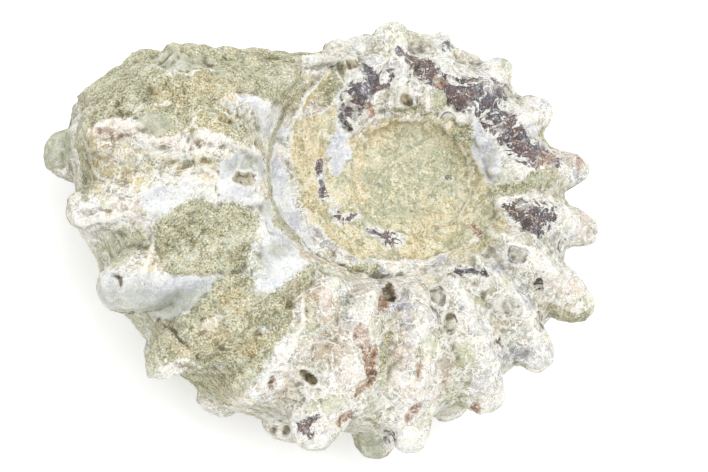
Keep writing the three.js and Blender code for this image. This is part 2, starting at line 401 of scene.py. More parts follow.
def settled(field, passes):
    """A field over the vertices, evened out with its neighbours' values so many times."""
    field = field.astype(float)
    columns = field.reshape(count, -1)
    for _ in range(passes):
        evened = np.empty_like(columns)
        for k in range(columns.shape[1]):
            near = np.bincount(edge_ends[:, 0], columns[edge_ends[:, 1], k], count)
            near += np.bincount(edge_ends[:, 1], columns[edge_ends[:, 0], k], count)
            evened[:, k] = 0.5 * columns[:, k] + 0.5 * near / meeting
        columns = evened
    return columns.reshape(field.shape)


def read_places():
    places = np.empty(count * 3)
    body.vertices.foreach_get("co", places)
    return places.reshape(-1, 3) * MM


def read_normals():
    normals = np.empty(count * 3)
    body.vertices.foreach_get("normal", normals)
    return normals.reshape(-1, 3)


def write_places(places):
    body.vertices.foreach_set("co", (places / MM).ravel())
    body.update()


def ripple(points, size, seed):
    """Even, unhurried unevenness between -1 and 1, with bumps about so many millimetres apart."""
    cell = np.floor(points / size).astype(np.int64)
    share = points / size - cell
    share = share * share * (3 - 2 * share)
    total = np.zeros(len(points))
    for corner in range(8):
        step = np.array([corner & 1, corner >> 1 & 1, corner >> 2])
        lattice = cell + step
        code = lattice @ np.array([374761393, 668265263, 1442695041]) + seed * 1274126177 & 0xFFFFFFFF
        code = (code ^ code >> 13) * 1274126177 & 0xFFFFFFFF
        value = (code ^ code >> 16 & 0xFFFF) % 65536 / 32767.5 - 1
        total += value * np.prod(np.where(step, share, 1 - share), axis=1)
    return total


# What lies where on the fossil. Each area is drawn on the photograph's frame, in pixels, and laid on the
# faces that show there. Its value grows from 0 at its edge inwards, in pixels, and falls below 0 outside.
WAVERS = [(3.4, 2.6), (1.8, 1.1)]  # how far the outlines waver, in pixels, and over how many millimetres
SEEN_FROM = 0.02  # how squarely a face must look at the camera to be drawn on, and to be drawn on fully
SEEN_FULLY = 0.34


def bumps(*layers):
    """Ripples laid over each other: the height, points, size and seed of each."""
    return sum(height * ripple(points, size, seed) for height, points, size, seed in layers)


places = read_places()
normals = read_normals()
across, down = in_photo(places)
for seed, (far, size) in enumerate(WAVERS, 1):
    across = across + far * ripple(places, size, seed)
    down = down + far * ripple(places, size, seed + 2)
on_axis = (places - np.array(COIL_CENTRE)) @ np.array(lean)
seen = smooth_step(SEEN_FROM, SEEN_FULLY, normals @ np.array(towards))


def off_segment(x0, y0, x1, y1):
    """How far along a segment, from 0 to 1, each vertex lies, and how far off it."""
    long, high = x1 - x0, y1 - y0
    run = np.clip(((across - x0) * long + (down - y0) * high) / (long**2 + high**2), 0, 1)
    return run, np.hypot(across - x0 - run * long, down - y0 - run * high)


def outline(*corners):
    """Inside or outside a closed outline, and how far from it."""
    inside = np.zeros(count, bool)
    nearest = np.full(count, np.inf)
    for (x0, y0), (x1, y1) in zip(corners, corners[1:] + corners[:1]):
        crosses = (y0 > down) != (y1 > down)
        if y0 != y1:
            inside ^= crosses & (across < x0 + (x1 - x0) * (down - y0) / (y1 - y0))
        nearest = np.minimum(nearest, off_segment(x0, y0, x1, y1)[1])
    return np.where(inside, nearest, -nearest)


def strip(*stations):
    """A band along a line, with its own half-width at each station."""
    best = np.full(count, -np.inf)
    for (x0, y0, w0), (x1, y1, w1) in zip(stations, stations[1:]):
        run, away = off_segment(x0, y0, x1, y1)
        best = np.maximum(best, w0 + (w1 - w0) * run - away)
    return best


def oval(x, y, wide, high, turned=0):
    """A spot, turned anticlockwise by so many degrees."""
    c, s = math.cos(math.radians(turned)), math.sin(math.radians(turned))
    u = (across - x) * c - (down - y) * s
    v = (across - x) * s + (down - y) * c
    return (1 - np.hypot(u / wide, v / high)) * min(wide, high)


def together(*areas):
    return np.maximum.reduce(areas)


def ovals(*spots):
    return together(*[oval(*spot) for spot in spots])


stone_patch = outline(
    (157, 222), (180, 206), (198, 197), (222, 205), (258, 212), (256, 230),
    (246, 260), (238, 270), (204, 274), (168, 277), (156, 262),
)
stone_low = outline(
    (224, 274), (240, 272), (256, 278), (257, 296), (272, 290), (296, 276), (308, 264), (316, 270),
    (312, 284), (298, 300), (288, 318), (287, 332), (268, 358), (256, 376), (240, 398), (226, 404),
    (204, 396), (192, 386), (186, 368), (168, 362), (150, 378), (140, 372), (150, 340), (153, 318),
    (168, 320), (186, 312), (200, 300), (214, 290),
)
stone_top = outline(
    (78, 100), (88, 74), (106, 58), (125, 44), (150, 44), (170, 40), (300, 40), (302, 72), (296, 108),
    (262, 98), (228, 94), (214, 100), (232, 112), (246, 124), (240, 140), (225, 132), (200, 126),
    (188, 130), (172, 138), (150, 134), (138, 118), (120, 112), (104, 124), (88, 122),
)
left_strip = strip((92, 108, 7), (86, 140, 8), (90, 180, 7), (84, 200, 5))
olive_spots = together(
    strip((497, 192, 7), (520, 186, 8), (549, 174, 8)),
    outline((388, 106), (405, 108), (424, 102), (428, 118), (411, 122), (390, 120)),
    strip((322, 98, 7), (334, 84, 9), (342, 76, 8)),
    strip((388, 336, 4), (385, 360, 5), (386, 382, 4)),
    strip((552, 308, 5), (572, 320, 7), (590, 314, 6)),
    strip((318, 268, 3), (345, 276, 4), (376, 272, 3)),
    strip((308, 330, 5), (314, 300, 5)),
    strip((432, 424, 5), (452, 430, 5)),
    ovals(
        (245, 138, 13, 9, -30), (462, 132, 9, 11, 40), (438, 100, 8, 12, 20), (545, 134, 7, 4, -30),
        (420, 356, 4, 10),
    ),
)
far_spines = together(oval(56, 146, 20, 24), oval(370, 448, 17, 16))
smooth_stone = together(far_spines, oval(155, 124, 18, 10), oval(182, 60, 30, 9))
left_on_stone = together(
    strip((202, 332, 4), (214, 323, 6), (224, 315, 3)),
    oval(219, 368, 8, 5, -30),
    oval(262, 330, 9, 4, 40),
)
stone_low = np.minimum(stone_low, -left_on_stone)
stone = together(stone_patch, stone_low, stone_top, left_strip, olive_spots)

umbilicus = outline(
    (322, 70), (303, 98), (291, 130), (290, 172), (305, 221), (339, 251), (362, 264), (427, 264),
    (462, 252), (482, 232), (492, 204), (483, 172), (474, 142), (450, 120), (411, 111), (384, 116),
    (354, 140), (344, 122), (338, 100), (344, 78),
)
disc = oval(411, 178, 67, 60)
pink_scab = strip((300, 118, 5), (316, 106, 8), (334, 98, 6), (344, 92, 3))
tan = np.minimum(together(umbilicus, strip((455, 262, 4), (492, 236, 8), (505, 214, 5))), -pink_scab)

nacre = together(
    outline(
        (222, 160), (262, 148), (282, 166), (289, 200), (300, 225), (314, 252), (302, 262), (290, 276),
        (262, 290), (258, 280), (258, 262), (262, 236), (260, 210), (222, 200), (214, 184),
    ),
    outline(
        (98, 276), (130, 270), (160, 276), (205, 276), (222, 274), (212, 292), (196, 304), (170, 318),
        (150, 316), (130, 308), (104, 308), (94, 292),
    ),
    outline((140, 192), (160, 184), (190, 186), (190, 200), (165, 214), (155, 220), (142, 206)),
    strip((254, 96, 8), (268, 110, 12), (272, 132, 10)),
    strip((478, 126, 8), (486, 146, 13), (492, 172, 9)),
    strip((336, 166, 8), (340, 142, 10), (350, 128, 7)),
    strip((362, 76, 5), (374, 70, 4)),
    oval(530, 132, 8, 7),
)

dark = together(
    strip((391, 76, 7), (374, 84, 11), (362, 94, 13), (352, 106, 13), (346, 118, 9), (352, 128, 4)),
    strip((361, 65, 4), (369, 72, 6), (373, 84, 8)),
    strip(
        (398, 50, 4), (409, 58, 7), (421, 66, 10), (436, 79, 12), (452, 91, 14), (468, 96, 18), (490, 94, 17),
    ),
    strip((486, 104, 16), (493, 117, 14), (508, 129, 14), (520, 145, 15), (536, 155, 15), (552, 161, 10)),
    strip((409, 66, 2), (411, 84, 2)),
    outline((503, 203), (520, 198), (535, 198), (563, 205), (556, 222), (543, 239), (522, 228), (508, 216)),
    strip((452, 277, 4), (464, 270, 6), (480, 270, 6), (488, 277, 2)),
    strip((316, 418, 4), (302, 428, 6), (312, 436, 5)),
    strip((322, 160, 4), (320, 176, 3), (326, 197, 4)),
    strip((338, 212, 5), (346, 222, 4), (356, 217, 4)),
    strip((372, 230, 3), (384, 238, 4), (396, 242, 5)),
    ovals(
        (517, 256, 10, 7, -20), (392, 437, 7, 9, 30), (504, 52, 7, 4, 10), (448, 44, 7, 6),
        (539, 285, 5, 8), (500, 344, 4, 6), (563, 246, 4, 7),
    ),
)

rust = together(
    outline(
        (360, 322), (370, 324), (368, 338), (378, 350), (379, 376), (366, 378), (362, 354), (353, 338),
    ),
    strip((374, 378, 4), (362, 386, 4), (355, 397, 3)),
    strip((340, 424, 3), (350, 414, 4)),
    ovals(
        (370, 112, 5, 9), (440, 82, 9, 6, -30), (547, 158, 10, 6, 20), (477, 408, 4, 9, -20),
        (464, 419, 6, 3), (413, 413, 4, 9, -30), (272, 381, 5, 4), (420, 373, 3, 9), (582, 165, 4, 7),
        (384, 302, 6, 8), (452, 314, 5, 5), (478, 232, 4, 3), (106, 132, 9, 4, -10),
    ),
)

worn_tips = ovals(
    (405, 100, 8, 7), (391, 292, 6, 9, 20), (307, 376, 11, 6, -35), (273, 432, 4, 5), (287, 430, 5, 7, -20),
    (118, 281, 4, 8, 20), (399, 22, 6, 2.5), (246, 180, 12, 7, -8), (352, 66, 7, 6),
)
ringed_tips = ovals(
    (510, 306, 12, 11), (452, 322, 9, 11), (438, 298, 11, 10), (448, 118, 9, 8), (517, 255, 12, 9),
    (537, 322, 8, 10), (447, 179, 4, 4),
)

# Tints in the shell and the stone: orange-tan, olive, lavender-grey and pink. Painted shade darkens some
# spines.
warm = together(
    strip((167, 96, 13), (200, 84, 12), (232, 92, 11)),
    strip((96, 135, 5), (99, 190, 6)),
    ovals(
        (215, 121, 28, 10, 10), (118, 172, 22, 10, 0), (180, 168, 14, 7, -10), (126, 150, 16, 6),
        (214, 178, 12, 6), (152, 165, 26, 8, 15), (150, 263, 9, 14), (236, 300, 18, 15),
        (212, 332, 16, 20, -30), (250, 346, 18, 13, 20), (182, 350, 12, 8), (310, 150, 15, 34),
        (313, 198, 12, 22, -20), (366, 253, 34, 8, 0), (330, 232, 10, 8, -40), (359, 172, 9, 34),
        (374, 138, 18, 8, 35), (408, 157, 16, 6, -10), (437, 218, 20, 9, 30), (428, 284, 13, 9, -20),
        (382, 303, 6, 10), (387, 322, 5, 8), (420, 372, 5, 12, -10), (240, 398, 20, 6, -20),
        (345, 255, 16, 6, -20), (300, 75, 8, 5), (524, 140, 12, 6, 20), (506, 218, 4, 12),
        (205, 162, 16, 7, 10), (132, 182, 20, 6, -5), (104, 150, 8, 18),
    ),
)
olive = together(
    strip((446, 252, 7), (470, 238, 8), (488, 214, 7)),
    ovals(
        (155, 121, 19, 12), (262, 76, 36, 10, -8), (190, 64, 60, 12), (112, 82, 18, 16, 40),
        (124, 244, 26, 18, 20), (100, 205, 14, 8), (333, 92, 10, 17, -35), (400, 186, 26, 24),
        (384, 214, 22, 14), (442, 170, 18, 26), (400, 36, 12, 15), (342, 62, 8, 10), (300, 332, 18, 12),
        (330, 402, 24, 12, 15), (432, 342, 12, 18), (468, 356, 11, 22), (372, 428, 18, 8),
        (455, 396, 18, 12), (586, 306, 7, 15, -20), (352, 276, 24, 6, -10), (505, 290, 8, 14, 20),
        (555, 330, 10, 8), (90, 130, 8, 20), (545, 134, 10, 8), (440, 92, 8, 16, 20), (480, 300, 8, 12),
        (530, 186, 22, 7, 20), (130, 320, 20, 14), (508, 62, 13, 9), (562, 112, 12, 12), (455, 50, 10, 7),
        (128, 296, 32, 16), (178, 296, 28, 11),
    ),
)
lavender = together(
    strip((288, 160, 4), (292, 190, 5), (300, 212, 6), (320, 240, 6), (352, 262, 5)),
    strip((378, 272, 7), (386, 290, 11), (398, 304, 12), (412, 306, 6)),
    strip((104, 292, 9), (140, 292, 10), (175, 296, 11), (208, 284, 8)),
    strip((340, 126, 5), (338, 142, 8), (334, 164, 6)),
    strip((480, 126, 7), (488, 146, 10), (492, 170, 7)),
    strip((488, 348, 6), (508, 356, 10), (536, 350, 9), (548, 362, 5)),
    strip((430, 270, 4), (452, 262, 6), (474, 262, 6)),
    ovals(
        (270, 127, 9, 16), (268, 168, 9, 13), (284, 232, 9, 20, -15), (165, 192, 16, 10, 10),
        (362, 80, 9, 9), (528, 132, 10, 10), (546, 106, 9, 9), (498, 268, 15, 8, -10),
        (312, 424, 20, 9, 20), (522, 296, 8, 12), (560, 250, 10, 12), (434, 316, 8, 16), (584, 176, 13, 12),
        (246, 100, 20, 9, 10), (246, 186, 12, 10), (346, 300, 7, 22, 10), (408, 330, 5, 22, 10),
        (522, 216, 8, 8), (480, 76, 10, 10), (390, 70, 12, 8), (490, 376, 14, 7, 30), (418, 400, 8, 8),
        (222, 318, 12, 5, 40), (500, 48, 13, 10), (548, 94, 14, 12), (447, 38, 13, 10),
    ),
)
pink = ovals(
    (122, 134, 18, 10, 10), (172, 142, 18, 9, -20), (212, 148, 22, 8, -10), (320, 106, 20, 10, -10),
    (318, 306, 18, 24), (334, 348, 18, 24), (298, 296, 10, 14), (588, 224, 16, 15), (566, 286, 16, 8),
    (398, 350, 12, 16), (420, 392, 18, 9), (446, 368, 9, 14), (332, 50, 12, 12), (500, 322, 10, 14),
    (460, 424, 16, 7), (282, 398, 10, 16), (120, 206, 14, 8), (346, 376, 14, 14), (560, 165, 14, 10),
    (545, 312, 12, 9), (450, 330, 12, 12), (110, 155, 12, 7), (310, 128, 8, 12), (366, 132, 12, 6, 30),
    (522, 74, 12, 10), (580, 146, 14, 14), (470, 58, 10, 7),
)

# Painted shade: the outer spines that face the lamp, and the blunt spine, are painted darker here.
shaded_spines = ovals(
    (448, 42, 20, 14), (500, 50, 26, 18), (545, 92, 26, 20), (575, 150, 22, 22), (588, 220, 18, 22),
    (118, 286, 34, 20),
)

# The side that doesn't show is of the same stuff, in patches of the same size.
HIDDEN_PATCH = 11.0
HIDDEN_SPOT = 5.0
LOWER_SEDIMENT = 15.5
LOWER_DISC = 11.4
STEEPNESS = 5.0  # how far an area's value falls over a millimetre, in pixels
OUTSIDE = -9.0
FAR_OUTSIDE = -60.0
FAR_IN = 99.0


def with_hidden(shown, hidden):
    return seen * shown + (1 - seen) * hidden


def patches(steep, size, seed, level):
    """Patches of about one size all over, with their edges where the ripple crosses the level."""
    return steep * (ripple(places, size, seed) - level)


def round_lower_disc(radius):
    """A circle of so many millimetres round the middle of the stone on the lower side."""
    return np.where(on_axis[:, 2] < 0, (radius - beneath) * STEEPNESS, FAR_OUTSIDE)


beneath = np.hypot(on_axis[:, 0] - FILL_X, on_axis[:, 1] - FILL_Y)
on_break = smooth_step(0.6, 0.85, normals[:, 1]) * smooth_step(12, 15, on_axis[:, 1]) * (on_axis[:, 0] < 2)
hidden_stone = np.maximum(patches(20, HIDDEN_PATCH, 11, 0.12), 30 * on_break - 12)
left_side_strip = np.where(normals @ np.array(towards) > -0.15, left_strip, -20)
stone = together(with_hidden(stone, hidden_stone), far_spines, left_side_strip)
tan = with_hidden(tan, np.maximum(round_lower_disc(LOWER_SEDIMENT), patches(16, HIDDEN_PATCH, 12, 0.45)))
nacre = with_hidden(nacre, patches(16, HIDDEN_PATCH, 13, 0.2))
dark = with_hidden(dark, patches(13, HIDDEN_SPOT, 14, 0.5) * (1 - on_break) - 8 * on_break)
rust = with_hidden(rust, patches(10, HIDDEN_SPOT, 15, 0.62) - 8 * on_break)
worn_tips = with_hidden(worn_tips, -6)
ringed_tips = with_hidden(ringed_tips, -6)
warm = with_hidden(warm, patches(14, 8, 16, 0.3))
olive = with_hidden(olive, patches(14, 9, 17, 0.1))
lavender = with_hidden(lavender, patches(14, 7, 18, 0.35))
pink = with_hidden(pink, patches(14, 8, 19, 0.35))
disc = with_hidden(disc, round_lower_disc(LOWER_DISC))

# The relief: stone fills the trough between the disc and the seam, ridges and hollows are what is left of
# broken shell, and grains, flakes and pits roughen all of it. Heights are in millimetres.
TROUGH_PASSES = 220
SWIRL = 1.6  # how far the finer bumps are drawn out of line
SWIRL_SIZE = 3.8
CRUST_SHARPNESS = 4
STONE_LIFT = 0.32
DARK_SUNK = 0.3
RUST_SUNK = 0.3
TIP_HOLLOW = 0.5
TIP_RIM = 0.3
RING_LIFT = 0.2
RING_HOLLOW = 0.1
BED_LIFT = 0.2
FOOT_WORN = 0.85  # the share of the relief that is gone where the fossil rests
TOP_LEVEL = 41.8  # what the relief lifts above this counts for less
TOP_GIVE = 0.35

seam = strip(
    (312, 72, 14), (296, 105, 20), (281, 140, 24), (279, 172, 25), (291, 215, 25), (320, 245, 21),
    (355, 262, 15), (427, 268, 12), (468, 262, 10),
)
trough = np.maximum(smooth_step(-6, 4, umbilicus) * smooth_step(5, -3, disc), smooth_step(-3, 6, seam))
trough *= smooth_step(1, 4, on_axis[:, 2])
levelled = settled(places, TROUGH_PASSES)
places = places + (levelled - places) * trough[:, None]
write_places(places)
normals = read_normals()

in_stone = smooth_step(-1.5, 2.5, stone)
in_nacre = smooth_step(-2, 4, nacre) * (1 - in_stone)
in_disc = smooth_step(-1, 4, disc)
in_tan = smooth_step(-1, 4, tan)
in_dark = smooth_step(-1.5, 2.5, dark)
in_rust = smooth_step(-1.5, 2.0, rust)
bare = 1 - np.clip(0.75 * in_nacre + 0.8 * in_disc + 0.7 * in_tan, 0, 0.85)


# Edges of broken shell and cracks: height and width in millimetres and pixels, and the line's corners.
CRESTS = [
    (1.0, 4.5, [(93, 133), (112, 117), (124, 126), (150, 138), (175, 138), (191, 124), (203, 131)]),
    (1.0, 4.5, [(203, 131), (221, 133), (246, 149), (262, 155)]),
    (0.8, 4.0, [(160, 156), (186, 152), (206, 146)]),
    (0.9, 3.5, [(80, 222), (100, 218), (122, 214), (138, 216)]),
    (1.0, 4.0, [(152, 372), (172, 362), (186, 357), (197, 366)]),
    (0.7, 3.0, [(156, 222), (154, 246), (146, 262), (142, 276)]),
    (0.7, 3.0, [(150, 54), (163, 70), (190, 75), (214, 72)]),
    (0.35, 2.0, [
        (320, 72), (302, 98), (291, 130), (290, 172), (305, 221), (339, 252), (362, 266), (427, 266),
    ]),
    (0.4, 3.0, [(427, 266), (462, 254), (484, 230)]),
    (0.15, 1.5, [(351, 371), (366, 377), (380, 380)]),
    (0.15, 1.5, [(352, 380), (366, 384), (378, 390)]),
    (0.5, 2.2, [(441, 128), (462, 146), (474, 172), (472, 196), (458, 220)]),
    (0.5, 2.5, [(124, 126), (132, 112), (148, 104), (172, 106)]),
    (0.5, 2.5, [(191, 124), (197, 112), (212, 108), (228, 114), (246, 128)]),
    (0.5, 3.0, [(186, 176), (200, 168), (216, 172), (222, 190), (240, 202), (262, 200)]),
    (0.5, 2.5, [(96, 172), (118, 190), (136, 196), (160, 184)]),
    (0.6, 3.0, [(258, 392), (268, 372), (288, 350), (302, 322), (304, 296)]),
    (0.5, 2.5, [(204, 404), (232, 402), (256, 408), (270, 424)]),
    (0.6, 2.5, [(404, 66), (412, 72), (412, 92)]),
    (0.5, 2.5, [(388, 108), (396, 118), (412, 120), (426, 112)]),
    (0.5, 2.5, [(330, 60), (334, 74), (346, 84)]),
]
GROOVES = [
    (-0.9, 6.0, [(104, 142), (130, 134), (152, 128), (176, 124), (196, 142), (222, 146)]),
    (-0.9, 4.0, [(82, 212), (96, 210), (108, 213)]),
    (-0.8, 1.6, [(158, 318), (172, 330), (184, 342), (197, 357)]),
    (-0.5, 1.8, [(192, 124), (193, 152)]),
    (-1.6, 9.0, [(158, 62), (180, 58), (206, 62)]),
    (-0.5, 2.0, [(300, 66), (284, 62), (262, 60)]),
    (-0.5, 1.6, [(217, 170), (219, 196)]),
    (-0.6, 2.4, [(148, 52), (160, 64), (172, 72)]),
    (-0.5, 2.2, [(120, 130), (134, 128), (146, 134)]),
    (-0.3, 3.0, [(190, 338), (204, 332), (216, 338), (226, 350)]),
]


def drawn_line(stations):
    """How far off a line each vertex lies, in pixels below 0."""
    return strip(*[(x, y, 0) for x, y in stations])


swirled = places + SWIRL * np.stack([ripple(places, SWIRL_SIZE, seed) for seed in (41, 42, 43)], -1)
lumps = bumps((0.32, places, 6.5, 21), (0.17, swirled, 3.1, 22), (0.11, swirled, 1.7, 23))
crust = 0.2 * (1 - np.abs(ripple(swirled, 3.6, 24))) ** CRUST_SHARPNESS
crust += 0.13 * (1 - np.abs(ripple(swirled, 1.9, 25))) ** CRUST_SHARPNESS
grit = bumps((0.13, places, 0.95, 26), (0.1, places, 0.6, 27))
relief = lumps * (0.35 + 0.65 * bare) + crust * bare * (1 - in_stone) + grit * (0.25 + 0.75 * bare)
relief += in_stone * (STONE_LIFT + bumps((0.2, places, 1.3, 28))) - DARK_SUNK * in_dark - RUST_SUNK * in_rust
relief -= TIP_HOLLOW * smooth_step(-1, 3, worn_tips)
relief += TIP_RIM * bell(worn_tips + 1.5, 1.5) * seen
relief += RING_LIFT * bell(ringed_tips, 1.4) - RING_HOLLOW * smooth_step(1, 4, ringed_tips)
breaks = 0.6 + bumps((0.4, places, 2.4, 36))
for height, width, stations in CRESTS + GROOVES:
    relief += height * bell(np.minimum(drawn_line(stations), 0), width) * seen * breaks
beds = np.sin(on_axis[:, 2] * 4.1 + bumps((5.5, places, 4.2, 29)))
beds *= smooth_step(-0.5, 0.6, ripple(places, 3.0, 37))
relief += BED_LIFT * beds * smooth_step(-1, 4, left_strip) * seen
relief += in_stone * seen * bumps((0.22, swirled, 2.7, 34), (0.12, swirled, 1.5, 35))
broken = smooth_step(-2, 3, stone_top) * seen + on_break
relief += broken * bumps((0.7, swirled, 4.9, 31), (0.3, swirled, 2.3, 32), (0.12, swirled, 1.2, 33))
relief *= 1 - FOOT_WORN * smooth_step(1.2, 0.2, places[:, 2])
places = places + normals * relief[:, None]
places[:, 2] = np.maximum(places[:, 2], 0)
places[:, 2] -= (1 - TOP_GIVE) * np.maximum(places[:, 2] - TOP_LEVEL, 0)
write_places(places)

# Painted shade darkens the hollows, and the edges are painted paler, so the mesh carries how far it stands
# out of its own evened-out form, once closely and once broadly, in millimetres.
CLOSE_PASSES = 5
BROAD_PASSES = 45

normals = read_normals()
close = np.einsum("ij,ij->i", places - settled(places, CLOSE_PASSES), normals)
broad = np.einsum("ij,ij->i", places - settled(places, BROAD_PASSES), normals)


def keep(name, *channels):
    """Stores up to four fields on the mesh as one four-channel attribute."""
    values = np.zeros((count, 4), np.float32)
    for k, channel in enumerate(channels):
        values[:, k] = channel
    body.attributes.new(name, "FLOAT_COLOR", "POINT").data.foreach_set("color", values.ravel())


smooth_stone = np.minimum(smooth_stone, with_hidden(FAR_IN, OUTSIDE) + FAR_IN * (far_spines > -4))
around_axis = np.degrees(np.arctan2(on_axis[:, 1], on_axis[:, 0])) % 360
# The rib field below carries painted shade between the ribs, and paler rib crests, on the flanks.
on_rib = rib_wave(np.where(around_axis < MOUTH_ANGLE, around_axis + 360, around_axis))
flank = smooth_step(19, 27, np.hypot(on_axis[:, 0], on_axis[:, 1])) * (1 - in_tan) * (1 - in_dark)
crest = together(*[drawn_line(stations) for _, _, stations in CRESTS])
groove = together(*[drawn_line(stations) for _, _, stations in GROOVES])
groove = together(groove, np.where(left_strip > -1, -4 * beds - 2.0, OUTSIDE))
# Painted shade on the steep sides that face the front left, away from the lamp.
shade_side = smooth_step(0.8, 0.25, normals @ np.array(towards))
shade_side *= smooth_step(-0.3, 0.5, normals @ np.array(-0.6 * view_right - 0.8 * view_up))
keep("matter", stone, tan, nacre, dark)
keep("marks", rust, worn_tips, ringed_tips, disc)
keep("form", close, broad, smooth_stone, with_hidden(shaded_spines, OUTSIDE))
keep("tints", warm, olive, lavender, pink)
keep("lines", with_hidden(crest, OUTSIDE), with_hidden(groove, OUTSIDE), shade_side, (on_rib - 0.5) * flank)
for polygon in body.polygons:
    polygon.use_smooth = True

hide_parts("ammonite")
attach(fossil, "root")

# The fossil's matter: cream and white shell, stained and flaked, over sandstone. Yellow sediment fills the
# umbilicus, smooth white inner shell shows in places, and dark lustrous shell where the outer layer is gone.
ALBEDO = 0.93  # the share of a colour's light in the photograph that the stuff itself gives back
STAIN_RAGGED = 46.0

fossil_material = bpy.data.materials.new("fossil shell and stone")
fossil_material.use_nodes = True
tree = fossil_material.node_tree
shader = tree.nodes["Principled BSDF"]


def put(kind, inputs=None, **settings):
    """Adds a node. An input is given a number or colour, or another node's socket."""
    made = tree.nodes.new(kind)
    for name, value in settings.items():
        setattr(made, name, value)
    for name, value in (inputs or {}).items():
        if isinstance(value, bpy.types.NodeSocket):
            tree.links.new(value, made.inputs[name])
        else:
            made.inputs[name].default_value = value
    return made


def paint(red, green, blue):
    """A colour as it shows in the photograph, 0 to 255, as the light its stuff gives back."""
    return tuple(ALBEDO * ((v / 255 + 0.055) / 1.055) ** 2.4 for v in (red, green, blue)) + (1,)


place = put("ShaderNodeTexCoord").outputs["Object"]


def cloud(size, detail=4.0, roughness=0.6, distortion=0.0, shift=0.0):
    """Noise whose largest blots are about so many millimetres apart."""
    step = {0: place, 1: (shift, shift * 0.7, -shift)}
    moved = put("ShaderNodeVectorMath", step, operation="ADD").outputs[0]
    inputs = {"Vector": moved, "Scale": MM / size, "Detail": detail, "Roughness": roughness}
    inputs["Distortion"] = distortion
    return put("ShaderNodeTexNoise", inputs).outputs["Fac"]


def grains(size, feature="F1", output="Color"):
    return put("ShaderNodeTexVoronoi", {"Vector": place, "Scale": MM / size}, feature=feature).outputs[output]


def calc(operation, first, second=0.0, third=0.0):
    return put("ShaderNodeMath", {0: first, 1: second, 2: third}, operation=operation).outputs[0]


def ramp(value, low, high, to_low=0.0, to_high=1.0):
    inputs = {"Value": value, "From Min": low, "From Max": high, "To Min": to_low, "To Max": to_high}
    return put("ShaderNodeMapRange", inputs, interpolation_type="SMOOTHSTEP").outputs["Result"]


def mixed(share, first, second, blend="MIX"):
    inputs = {0: share, 6: first, 7: second}
    return put("ShaderNodeMix", inputs, data_type="RGBA", blend_type=blend).outputs[2]


def times(first, second):
    return calc("MULTIPLY", first, second)


def line(value, level, width, share=1.0):
    """The share along the contour where the value crosses the level, and 0 off it."""
    return ramp(calc("ABSOLUTE", calc("SUBTRACT", value, level)), width, width * 0.3, 0.0, share)


def stored(name):
    """The stored fields of one attribute: three channels and the fourth."""
    held = put("ShaderNodeAttribute", attribute_name=name, attribute_type="GEOMETRY")
    parts = put("ShaderNodeSeparateColor", {0: held.outputs["Color"]})
    return (*parts.outputs[:3], held.outputs["Alpha"])


stone_in, tan_in, nacre_in, dark_in = stored("matter")
rust_in, worn_in, ringed_in, disc_in = stored("marks")
close_in, broad_in, far_in, shaded_spines_in = stored("form")
warm_in, olive_in, lavender_in, pink_in = stored("tints")
crest_in, groove_in, shade_side_in, rib_in = stored("lines")

ragged = cloud(1.8, 7.0, 0.7, 0.5)
flaky = cloud(1.3, 6.0, 0.66, 1.6, 0.3)
blots = cloud(6.0, 6.0, 0.65, 0.6, 0.1)
tints = cloud(3.6, 6.0, 0.66, 0.5, 0.7)
shades = cloud(2.2, 8.0, 0.72, 0.8, 1.1)
veins = cloud(2.8, 5.0, 0.6, 2.2, 2.3)
fine = cloud(0.55, 4.0, 0.75, 0.0, 1.7)
sand = cloud(0.32, 3.0, 0.7, 0.0, 1.9)
grain = put("ShaderNodeSeparateColor", {0: grains(0.3)}).outputs
big_grain = put("ShaderNodeSeparateColor", {0: grains(0.6)}).outputs


def wavering(inwards, by, noise):
    """A drawn area whose edge strays with the noise, by so many pixels over its whole range."""
    return calc("MULTIPLY_ADD", calc("SUBTRACT", noise, 0.5), by, inwards)


def patch(inwards, ragged_by, soft=0.8, noise=ragged, more=0.0):
    """Where a stuff lies: its drawn area with a ragged edge."""
    return ramp(calc("ADD", wavering(inwards, ragged_by, noise), more), -soft, soft)


def stain(inwards, share, noise=tints):
    """The share of a soft, broken stain over a drawn area."""
    return ramp(wavering(inwards, STAIN_RAGGED, noise), -3, 7, 0.0, share)


def coated(ground, *coats):
    """Lays coats over a colour, each with its share and its tint. "MULTIPLY" makes one darken instead."""
    for share, tint, *blend in coats:
        ground = mixed(share, ground, tint, *blend)
    return ground


# Shell, the ground colour of all that isn't covered: cream and white, broken into small plates, each of its
# own tone, with pale chipped edges, a painted shadow line just inside each edge, and stains.
PLATE_SIZE = 3.8
PLATE_SWIRL = 0.0055
PLATE_SWIRL_SIZE = 2.6

